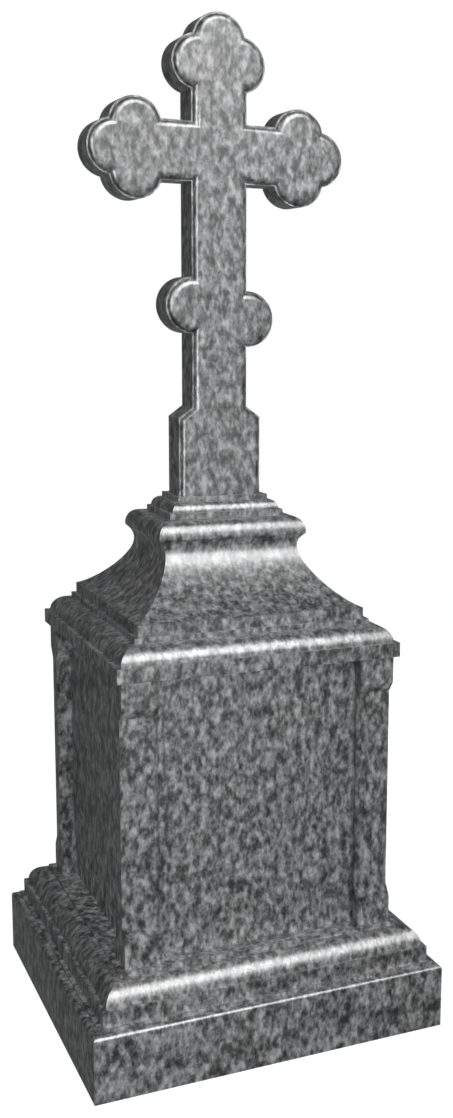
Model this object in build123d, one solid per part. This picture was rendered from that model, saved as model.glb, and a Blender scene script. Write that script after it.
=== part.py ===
# Granite memorial: moulded square pedestal with corner pilasters, swept cap and an
# upright budded cross with a slanting foot bar. Millimetres, +Z up, -Y is the front.
from build123d import *
import os
import math

os.makedirs("parts", exist_ok=True)

# ---- driving dimensions ------------------------------------------------------
W = 840.0                 # plinth width and depth
PLINTH_H = 152.0
ARRIS = 9.0               # rounded top arris of the plinth

BASE_FOOT_HALF = 402.4    # low fillet under the base course
BASE_FOOT_TOP = 158.5
BASE_HALF = 392.3         # base course, half width at its tall fillet
BASE_FILLET_TOP = 194.9
BASE_OVOLO_HALF = 382.7
BASE_OVOLO_R = 44.2
DIE_Z0 = 247.0            # underside of the die

DIE_HALF = 322.9          # outer faces of the pilasters
CORE_HALF_X = 287.3       # recessed side faces
CORE_HALF_Y = 294.8       # recessed front and rear panels
PIL_IN = 239.0            # inner edge of the pilasters, from the centre
SHAFT_Y = 304.5           # pilaster shaft face
SHAFT_BACK = 265.5        # rear face of the shaft return
CAP_Y = 323.8             # capital and pilaster base face
CAP_BACK = 243.6          # rear face of the capital return
P_BASE_BACK = 249.0       # rear face of the base return
P_BASE_TOP = 306.0        # pilaster base block, straight part
P_SLOPE_TOP = 336.0       # top of the sloped part
P_CHAMFER = 809.0         # underside of the capital chamfer
P_CAP_Z = 834.5           # straight part of the capital starts
DIE_Z1 = 896.4            # top of the die

BAND_HALF = 334.2
BAND_TOP = 929.3
OVOLO_HALF = 322.9
OVOLO_TOP = 968.6
OVOLO_IN = 279.0
CORNICE_TOP = 979.9       # top of the fillet over the ovolo

CAP_HALF = 268.8
CAP_FILLET_TOP = 1004.5

# swept cap: half width, half depth, height
SWEEP = [(268.8, 268.8, 1004.5), (258.5, 257.5, 1009.0), (246.5, 243.5, 1016.0),
         (234.0, 229.0, 1025.0), (220.5, 213.0, 1036.0), (207.0, 196.5, 1049.0),
         (195.0, 181.2, 1062.0), (184.0, 166.5, 1076.0), (174.8, 153.0, 1090.0),
         (167.3, 140.5, 1104.0), (162.6, 131.0, 1118.0), (160.9, 126.0, 1130.0),
         (161.6, 124.6, 1140.0), (164.0, 125.9, 1148.0), (167.2, 128.6, 1154.0),
         (172.0, 133.2, 1160.0), (178.0, 138.9, 1165.5)]
CAP_OVOLO_X, CAP_OVOLO_Y = 178.6, 139.5   # bulge over the neck
CAP_OVOLO_Z = 1170.0
CAP_OVOLO_TOP = 1204.2
CAP_OVOLO_IN = 27.5

SEAT1_X, SEAT1_Y, SEAT1_TOP = 137.8, 92.0, 1218.4
SEAT2_X, SEAT2_Y, SEAT2_TOP = 130.0, 84.2, 1240.7
SEAT2_IN = 19.5
SEAT3_X, SEAT3_Y, SEAT3_TOP = 109.2, 63.4, 1251.9

BAND_T = 38.0             # half thickness of the cross at its outer edge
STEP = 4.0                # small step inside that edge, front and rear
ROUND = 15.0              # quarter round inside the step
BLOCK_HALF = 99.2         # foot block, half width
BLOCK_TOP = 1433.0        # where the shoulders start
SHOULDER_TOP = 1457.5
STEM_HALF = 65.9
LOBE_L = (-63.2, 1689.2, 64.4)    # ends of the slanting foot bar: x, z, radius
LOBE_R = (67.4, 1659.8, 63.9)
ARM_Z = 2028.6
ARM_HALF = 65.9
BUD_R = 61.8              # side buds of each end
BUD_MID = 193.8           # side buds, distance from the crossing
BUD_OFF = 48.2            # side buds, distance from the arm's centre line
END_R = 62.2              # end bud
BUD_END = 241.5           # end bud, distance from the crossing


def save(shape, name):
    export_step(shape, f"parts/{name}.step")


def box(x0, x1, y0, y1, z0, z1):
    return Pos((x0 + x1) / 2, (y0 + y1) / 2, (z0 + z1) / 2) * Box(x1 - x0, y1 - y0, z1 - z0)


def quarter(x0, z0, x1, z1, n=16):
    """Points of a bulging quarter ellipse going up and inwards, the first point left out."""
    return [(x1 + (x0 - x1) * math.cos(t * math.pi / 2 / n), z0 + (z1 - z0) * math.sin(t * math.pi / 2 / n))
            for t in range(1, n + 1)]


def skin(rings):
    """Solid through rings of points, anticlockwise seen from the last one, with planar quads between."""
    n = len(rings[0])
    faces = [Face(Wire.make_polygon(rings[0])), Face(Wire.make_polygon(rings[-1]))]
    for r0, r1 in zip(rings, rings[1:]):
        for k in range(n):
            j = (k + 1) % n
            faces.append(Face(Wire.make_polygon([r0[k], r0[j], r1[j], r1[k]])))
    return Solid(Shell(faces))


def mitred(levels):
    """Solid through rectangles (half width, half depth, height), bottom to top, mitred corners."""
    return skin([[Vector(-hx, -hy, z), Vector(hx, -hy, z), Vector(hx, hy, z), Vector(-hx, hy, z)]
                 for hx, hy, z in levels])


def square(points):
    return mitred([(h, h, z) for h, z in points])


# ---- plinth ------------------------------------------------------------------
plinth = box(-W / 2, W / 2, -W / 2, W / 2, 0, PLINTH_H)
plinth = fillet(plinth.faces().sort_by(Axis.Z)[-1].edges(), ARRIS)
save(plinth, "plinth_slab")

# ---- base course ---------------------------------------------------------------
base_in = BASE_OVOLO_HALF - BASE_OVOLO_R
base_pts = [(BASE_FOOT_HALF, PLINTH_H), (BASE_FOOT_HALF, BASE_FOOT_TOP), (BASE_HALF, BASE_FOOT_TOP),
            (BASE_HALF, BASE_FILLET_TOP), (BASE_OVOLO_HALF, BASE_FILLET_TOP)]
base_pts += quarter(BASE_OVOLO_HALF, BASE_FILLET_TOP, base_in, BASE_FILLET_TOP + BASE_OVOLO_R)
base_pts += [(base_in, DIE_Z0)]
save(square(base_pts), "base_moulding")

# ---- die -----------------------------------------------------------------------
core = box(-CORE_HALF_X, CORE_HALF_X, -CORE_HALF_Y, CORE_HALF_Y, DIE_Z0, DIE_Z1)
save(core, "die_core")


def pilaster_piece(kind):
    """One front-left pilaster element, outline drawn in the YZ plane."""
    if kind == "base":
        pts = [(-CAP_Y, DIE_Z0), (-CAP_Y, P_BASE_TOP), (-SHAFT_Y, P_SLOPE_TOP),
               (-SHAFT_BACK, P_SLOPE_TOP), (-P_BASE_BACK, P_BASE_TOP), (-P_BASE_BACK, DIE_Z0)]
    elif kind == "shaft":
        pts = [(-SHAFT_Y, P_SLOPE_TOP), (-SHAFT_Y, P_CHAMFER), (-SHAFT_BACK, P_CHAMFER), (-SHAFT_BACK, P_SLOPE_TOP)]
    else:
        pts = [(-SHAFT_Y, P_CHAMFER), (-CAP_Y, P_CAP_Z), (-CAP_Y, DIE_Z1),
               (-CAP_BACK, DIE_Z1), (-CAP_BACK, P_CAP_Z), (-SHAFT_BACK, P_CHAMFER)]
    face = Plane.YZ * make_face(Polyline(*pts, close=True))
    s = extrude(face, amount=DIE_HALF - PIL_IN)
    xs = s.bounding_box().min.X
    s = Pos(-DIE_HALF - xs, 0, 0) * s
    s = s - core
    return s.solids()[0]


for part in ("base", "shaft", "capital"):
    fl = pilaster_piece(part)
    fr = mirror(fl, about=Plane.YZ)
    save(fl, f"pilaster_{part}_front_left")
    save(fr, f"pilaster_{part}_front_right")
    save(mirror(fl, about=Plane.XZ), f"pilaster_{part}_rear_left")
    save(mirror(fr, about=Plane.XZ), f"pilaster_{part}_rear_right")

# ---- cornice -------------------------------------------------------------------
save(box(-BAND_HALF, BAND_HALF, -BAND_HALF, BAND_HALF, DIE_Z1, BAND_TOP), "cornice_band")
pts = [(OVOLO_HALF, BAND_TOP)] + quarter(OVOLO_HALF, BAND_TOP, OVOLO_IN, OVOLO_TOP) + [(OVOLO_IN, CORNICE_TOP)]
save(square(pts), "cornice_ovolo")

# ---- swept cap -----------------------------------------------------------------
save(box(-CAP_HALF, CAP_HALF, -CAP_HALF, CAP_HALF, CORNICE_TOP, CAP_FILLET_TOP), "cap_fillet")
save(mitred(SWEEP), "cap_sweep")


def oblong_ovolo(x, y, z0, z1, inward, n):
    """Levels of a quarter round on an oblong plan."""
    return [(x - (x - a), y - (x - a), z) for a, z in [(x, z0)] + quarter(x, z0, x - inward, z1, n)]


rim_x, rim_y, rim_z = SWEEP[-1]
levels = [(rim_x, rim_y, rim_z)] + oblong_ovolo(CAP_OVOLO_X, CAP_OVOLO_Y, CAP_OVOLO_Z, CAP_OVOLO_TOP, CAP_OVOLO_IN, 16)
save(mitred(levels), "cap_ovolo")

# ---- stepped seat of the cross --------------------------------------------------
save(box(-SEAT1_X, SEAT1_X, -SEAT1_Y, SEAT1_Y, CAP_OVOLO_TOP, SEAT1_TOP), "seat_lower_fillet")
save(mitred(oblong_ovolo(SEAT2_X, SEAT2_Y, SEAT1_TOP, SEAT2_TOP, SEAT2_IN, 10)), "seat_ovolo")
save(box(-SEAT3_X, SEAT3_X, -SEAT3_Y, SEAT3_Y, SEAT2_TOP, SEAT3_TOP), "seat_upper_fillet")

# ---- cross: every member has the same stepped and rounded edge, front and rear -----
FRONT = BAND_T + ROUND
INSET = STEP + ROUND


def edge_points(h, n=6):
    """Half section of a member, distance from its axis against thickness, the quarter rounds in n flats."""
    c = h - INSET
    up = [(c + ROUND * math.sin(t * math.pi / 2 / n), BAND_T + ROUND * math.cos(t * math.pi / 2 / n)) for t in range(n + 1)]
    up.append((h, BAND_T))
    return [(d, -y) for d, y in up] + [(d, y) for d, y in reversed(up)]


def disc(x, z, r):
    f = make_face(Polyline(*([(0, -FRONT)] + edge_points(r) + [(0, FRONT)]), close=True))
    return Pos(x, 0, z) * revolve(f, Axis.Y)


def arm_bar(h, x0, x1, z):
    right = edge_points(h)
    rings = [[Vector(x, y, z + d) for d, y in right] + [Vector(x, y, z - d) for d, y in reversed(right)] for x in (x0, x1)]
    return skin(rings)


def post():
    """Foot block, sloping shoulders and stem in one, the edges mitred round the shoulders."""
    slope = (SHOULDER_TOP - BLOCK_TOP) / (BLOCK_HALF - STEM_HALF)
    drop = math.sqrt(1 + slope * slope) - slope
    top = ARM_Z + BUD_MID

    def ring(w, y):
        d = BLOCK_HALF - w
        half = [(w, SEAT3_TOP), (w, BLOCK_TOP - d * drop), (STEM_HALF - d, SHOULDER_TOP - d * drop), (STEM_HALF - d, top)]
        return [Vector(x, y, z) for x, z in half] + [Vector(-x, y, z) for x, z in reversed(half)]

    edge = edge_points(BLOCK_HALF)
    n = len(edge) // 2 - 1
    front = skin([ring(w, y) for w, y in reversed(edge[:n])])
    middle = skin([ring(BLOCK_HALF, BAND_T), ring(BLOCK_HALF, -BAND_T)])
    rear = skin([ring(w, y) for w, y in reversed(edge[-n:])])
    return middle + front + rear


members = [post(), arm_bar(ARM_HALF, -BUD_MID, BUD_MID, ARM_Z), disc(*LOBE_L), disc(*LOBE_R)]
for dx, dz in ((1, 0), (-1, 0), (0, 1)):
    for along, off, r in ((BUD_END, 0, END_R), (BUD_MID, BUD_OFF, BUD_R), (BUD_MID, -BUD_OFF, BUD_R)):
        members.append(disc(dx * along + dz * off, ARM_Z + dz * along + dx * off, r))
cross = members[0]
for m in members[1:]:
    cross = cross + m
save(cross.solids()[0], "cross")
print("cross solids", len(cross.solids()), cross.bounding_box(), cross.volume / 1e9)
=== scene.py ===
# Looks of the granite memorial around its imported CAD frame. Metres, +Z up, -Y is the front.
import math

import bpy
from mathutils import Matrix, Vector

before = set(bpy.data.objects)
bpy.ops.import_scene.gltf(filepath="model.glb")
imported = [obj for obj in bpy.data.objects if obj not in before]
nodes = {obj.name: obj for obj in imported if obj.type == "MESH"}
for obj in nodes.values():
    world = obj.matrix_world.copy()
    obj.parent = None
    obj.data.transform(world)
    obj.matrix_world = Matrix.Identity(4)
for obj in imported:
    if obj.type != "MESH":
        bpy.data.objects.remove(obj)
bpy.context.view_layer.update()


# ---- polished granite --------------------------------------------------------
# the last switch paints a thin line of shade at |x| = 0.2385 m, the corner where the pilasters meet the die
def granite(name, rough, soften=1.0, painted_joint_shade=False):
    mat = bpy.data.materials.new(name)
    mat.use_nodes = True
    nt = mat.node_tree
    nt.nodes.clear()
    N, L = nt.nodes, nt.links

    def node(kind, **kw):
        n = N.new(kind)
        for k, v in kw.items():
            setattr(n, k, v)
        return n

    out = node("ShaderNodeOutputMaterial")
    bsdf = node("ShaderNodeBsdfPrincipled")
    L.new(bsdf.outputs["BSDF"], out.inputs["Surface"])
    coord = node("ShaderNodeTexCoord")

    def mapping(scale, offset=(0, 0, 0)):
        m = node("ShaderNodeMapping")
        m.inputs["Scale"].default_value = scale
        m.inputs["Location"].default_value = offset
        L.new(coord.outputs["Object"], m.inputs["Vector"])
        return m

    def noise(m, scale, detail, rough, dist=0.0):
        n = node("ShaderNodeTexNoise")
        n.inputs["Scale"].default_value = scale
        n.inputs["Detail"].default_value = detail
        n.inputs["Roughness"].default_value = rough
        n.inputs["Distortion"].default_value = dist
        L.new(m.outputs["Vector"], n.inputs["Vector"])
        return n

    def ramp(src, stops, interp="LINEAR"):
        r = node("ShaderNodeValToRGB")
        r.color_ramp.interpolation = interp
        e = r.color_ramp.elements
        while len(e) > 1:
            e.remove(e[-1])
        e[0].position, e[0].color = stops[0][0], stops[0][1]
        for p, c in stops[1:]:
            k = e.new(p)
            k.color = c
        L.new(src, r.inputs["Fac"])
        return r

    def mix(kind, fac, a, b):
        m = node("ShaderNodeMix", data_type="RGBA", blend_type=kind)
        if hasattr(fac, "is_linked") or hasattr(fac, "node"):
            L.new(fac, m.inputs[0])
        else:
            m.inputs[0].default_value = fac
        for s, v in ((m.inputs[6], a), (m.inputs[7], b)):
            if isinstance(v, tuple):
                s.default_value = v
            else:
                L.new(v, s)
        return m.outputs[2]

    def grey(v, tint=(1, 1, 1)):
        return (v * tint[0], v * tint[1], v * tint[2], 1)

    # crystals stretched upright: two sizes of grain added, then spread from near black to pale grey
    m1 = mapping((1.0, 1.0, 0.6))
    coarse = noise(m1, 58, 2.0, 0.55, 0.25)
    fine = noise(mapping((1.0, 1.0, 0.6), (3.1, 7.7, 1.3)), 120, 2.0, 0.6, 0.0)
    both = node("ShaderNodeMath", operation="ADD")
    L.new(coarse.outputs["Fac"], both.inputs[0])
    half = node("ShaderNodeMath", operation="MULTIPLY")
    L.new(fine.outputs["Fac"], half.inputs[0])
    half.inputs[1].default_value = 0.6
    L.new(half.outputs[0], both.inputs[1])
    spread = node("ShaderNodeMapRange")
    L.new(both.outputs[0], spread.inputs["Value"])
    spread.inputs["From Min"].default_value = 0.50
    spread.inputs["From Max"].default_value = 1.10
    base = ramp(spread.outputs["Result"], [(0.10, grey(0.008, (0.9, 1.0, 0.97))), (0.32, grey(0.062, (0.96, 1.0, 0.99))),
                                           (0.50, grey(0.150)), (0.68, grey(0.255)), (0.92, grey(0.42))])
    # slow drifts: slightly green, slightly blue and neutral areas
    drift = noise(mapping((1.0, 1.0, 0.7), (5.0, 1.0, 2.0)), 9, 2.0, 0.5)
    tint = ramp(drift.outputs["Fac"], [(0.32, (0.935, 1.01, 1.0, 1)), (0.5, (0.965, 1, 1.025, 1)), (0.68, (0.995, 0.995, 1.01, 1))])
    col = mix("MULTIPLY", 1.0, base.outputs["Color"], tint.outputs["Color"])
    if painted_joint_shade:
        # painted shade: a thin dark line at the corner where the pilasters meet the die, standing in for the
        # shade that falls in that corner as well as for the joint
        xyz = node("ShaderNodeSeparateXYZ")
        L.new(coord.outputs["Object"], xyz.inputs[0])
        side = node("ShaderNodeMath", operation="ABSOLUTE")
        L.new(xyz.outputs["X"], side.inputs[0])
        off = node("ShaderNodeMath", operation="SUBTRACT")
        L.new(side.outputs[0], off.inputs[0])
        off.inputs[1].default_value = 0.2385
        gap = node("ShaderNodeMath", operation="ABSOLUTE")
        L.new(off.outputs[0], gap.inputs[0])
        joint_shade_line = ramp(gap.outputs[0], [(0.0030, (0.5, 0.5, 0.5, 1)), (0.0085, (1, 1, 1, 1))])
        col = mix("MULTIPLY", 1.0, col, joint_shade_line.outputs["Color"])
    L.new(col, bsdf.inputs["Base Color"])
    bsdf.inputs["Roughness"].default_value = rough
    bsdf.inputs["IOR"].default_value = 1.52
    bsdf.inputs["Specular IOR Level"].default_value = 0.5
    if soften < 1.0:
        # the pilasters' small slopes are so softly blended that they shade like the faces beside them
        geo = node("ShaderNodeNewGeometry")
        flat = node("ShaderNodeVectorMath", operation="MULTIPLY")
        L.new(geo.outputs["Normal"], flat.inputs[0])
        flat.inputs[1].default_value = (1, 1, soften)
        unit = node("ShaderNodeVectorMath", operation="NORMALIZE")
        L.new(flat.outputs[0], unit.inputs[0])
        L.new(unit.outputs[0], bsdf.inputs["Normal"])
    return mat


polished = granite("granite", 0.36)
# die and pilaster shafts get the painted shade line at the pilaster corners; the blended-slope variant below
# carries it too
joint_shaded_granite = granite("granite_joint_shade", 0.36, painted_joint_shade=True)
blended = granite("granite_blended_slopes", 0.36, 0.05, True)
for name, ob in nodes.items():
    ob.data.materials.clear()
    if name.startswith(("pilaster_base", "pilaster_capital")):
        ob.data.materials.append(blended)
    elif name.startswith(("pilaster_shaft", "die_core")):
        ob.data.materials.append(joint_shaded_granite)
    else:
        ob.data.materials.append(polished)

# ---- smooth mouldings: facets run together, mitres and arrises stay crisp ------
for name, ob in nodes.items():
    me = ob.data
    me.polygons.foreach_set("use_smooth", [True] * len(me.polygons))

for name, ob in nodes.items():
    w = ob.modifiers.new("weld", "WELD")
    w.merge_threshold = 0.00002
    if name == "cross":
        e = ob.modifiers.new("edges", "EDGE_SPLIT")
        e.split_angle = math.radians(26)
        e.use_edge_sharp = False
    else:
        b = ob.modifiers.new("arris", "BEVEL")
        b.width = 0.0002
        b.segments = 2
        b.limit_method = "ANGLE"
        b.angle_limit = math.radians(26)
    n = ob.modifiers.new("normals", "WEIGHTED_NORMAL")
    n.mode = "FACE_AREA"
    n.weight = 100
    n.keep_sharp = True

# ---- floor and backdrop: pale, seen by the camera only, so they throw no light on the stone ----
def stage_piece(name, verts, faces, colour, glow):
    me = bpy.data.meshes.new(name)
    me.from_pydata(verts, [], faces)
    ob = bpy.data.objects.new(name, me)
    bpy.context.scene.collection.objects.link(ob)
    mat = bpy.data.materials.new(name)
    mat.use_nodes = True
    p = mat.node_tree.nodes["Principled BSDF"]
    p.inputs["Base Color"].default_value = (colour, colour, colour, 1)
    p.inputs["Roughness"].default_value = 1.0
    p.inputs["Specular IOR Level"].default_value = 0.0
    p.inputs["Emission Color"].default_value = (1, 1, 1, 1)
    # white behind the object, falling to pale grey well in front of it, so that glossy rims show from the rear
    tree = mat.node_tree
    place = tree.nodes.new("ShaderNodeTexCoord")
    xyz = tree.nodes.new("ShaderNodeSeparateXYZ")
    fade = tree.nodes.new("ShaderNodeMapRange")
    tree.links.new(place.outputs["Object"], xyz.inputs[0])
    tree.links.new(xyz.outputs["Y"], fade.inputs["Value"])
    fade.inputs["From Min"].default_value = -10.0
    fade.inputs["From Max"].default_value = -4.0
    fade.inputs["To Min"].default_value = 0.72 * glow
    fade.inputs["To Max"].default_value = glow
    tree.links.new(fade.outputs["Result"], p.inputs["Emission Strength"])
    me.materials.append(mat)
    ob.visible_diffuse = False
    ob.visible_glossy = False
    ob.visible_shadow = False
    return ob


R0, SIDES = 13.0, 48
rim = [(R0 * math.cos(2 * math.pi * k / SIDES), R0 * math.sin(2 * math.pi * k / SIDES)) for k in range(SIDES)]
stage_piece("floor", [(x, y, 0) for x, y in rim], [tuple(range(SIDES))], 0.1, 0.985)
levels = [(0.0, 1.0), (5.0, 0.96), (9.0, 0.75), (12.0, 0.4)]
dome_v = [(x * f, y * f, z) for z, f in levels for x, y in rim] + [(0, 0, 13.0)]
dome_f = [(a * SIDES + k, a * SIDES + (k + 1) % SIDES, (a + 1) * SIDES + (k + 1) % SIDES, (a + 1) * SIDES + k)
          for a in range(len(levels) - 1) for k in range(SIDES)]
top = (len(levels) - 1) * SIDES
dome_f += [(top + k, top + (k + 1) % SIDES, len(dome_v) - 1) for k in range(SIDES)]
stage_piece("backdrop", dome_v, dome_f, 0.0, 1.0)

# ---- light -----------------------------------------------------------------------
world = bpy.data.worlds.new("world")
bpy.context.scene.world = world
world.use_nodes = True
bg = world.node_tree.nodes["Background"]
bg.inputs["Color"].default_value = (1, 1, 1, 1)
bg.inputs["Strength"].default_value = 0.165


def panel(name, azimuth, elevation, distance, size, size_y, radiance):
    """Soft panel facing the object; azimuth from the front towards the right, radiance as seen in a mirror."""
    a, e = math.radians(azimuth), math.radians(elevation)
    to = Vector((0, 0, 1.3))
    at = to + distance * Vector((math.sin(a) * math.cos(e), -math.cos(a) * math.cos(e), math.sin(e)))
    d = bpy.data.lights.new(name, "AREA")
    d.shape = "RECTANGLE"
    d.size, d.size_y = size, size_y
    d.energy = radiance * math.pi * size * size_y
    o = bpy.data.objects.new(name, d)
    bpy.context.scene.collection.objects.link(o)
    o.location = at
    o.rotation_euler = (to - at).to_track_quat("-Z", "Y").to_euler()
    o.visible_camera = False
    return o


def lamp(name, at, watts):
    """Round soft lamp that lights the stone without casting shadows or showing as gloss."""
    d = bpy.data.lights.new(name, "POINT")
    d.energy = watts
    d.shadow_soft_size = 0.25
    d.use_shadow = False
    o = bpy.data.objects.new(name, d)
    bpy.context.scene.collection.objects.link(o)
    o.location = at
    o.visible_glossy = False
    o.visible_camera = False
    return o


# two near lamps give the body of the light, brighter upwards; the rear one lights the sides the photograph does not show
lamp("key", (0.192, -1.6, 2.473), 90.0)
lamp("low", (-0.583, -2.0, 0.167), 54.0)
lamp("rear", (1.1, 2.4, 0.75), 130.0)
# wide panels that only show as gloss on the polish
for gloss in (panel("gloss_high", 3.8, 41.4, 35.8, 31.7, 29.5, 23.4), panel("gloss_low", 9.4, -6.1, 5.0, 0.86, 0.62, 21.4),
              panel("gloss_left", -62.0, 9.0, 5.0, 1.6, 4.2, 25.0)):
    gloss.visible_diffuse = False

# ---- camera, matched to the photograph ---------------------------------------------
yaw, pitch, roll = math.radians(-26.35), math.radians(9.902), math.radians(1.06)
fwd = Vector((-math.sin(yaw) * math.cos(pitch), math.cos(yaw) * math.cos(pitch), -math.sin(pitch)))
right = Vector((math.cos(yaw), math.sin(yaw), 0))
up = right.cross(fwd)
r2 = right * math.cos(roll) + up * math.sin(roll)
u2 = up * math.cos(roll) - right * math.sin(roll)
m = Matrix(((r2.x, u2.x, -fwd.x), (r2.y, u2.y, -fwd.y), (r2.z, u2.z, -fwd.z))).to_4x4()
m.translation = Vector((-1.307, -3.706, 1.992)) * 0.84
cd = bpy.data.cameras.new("camera")
cam = bpy.data.objects.new("camera", cd)
bpy.context.scene.collection.objects.link(cam)
cam.matrix_world = m
cd.sensor_fit = "VERTICAL"
cd.sensor_height = 36
cd.lens = 1387 / 1118 * 36
cd.shift_x = (226.5 - 380.3) / 1118
cd.shift_y = (557.9 - 559.0) / 1118
cd.clip_end = 60
bpy.context.scene.camera = cam

bpy.context.scene.view_settings.view_transform = "Standard"
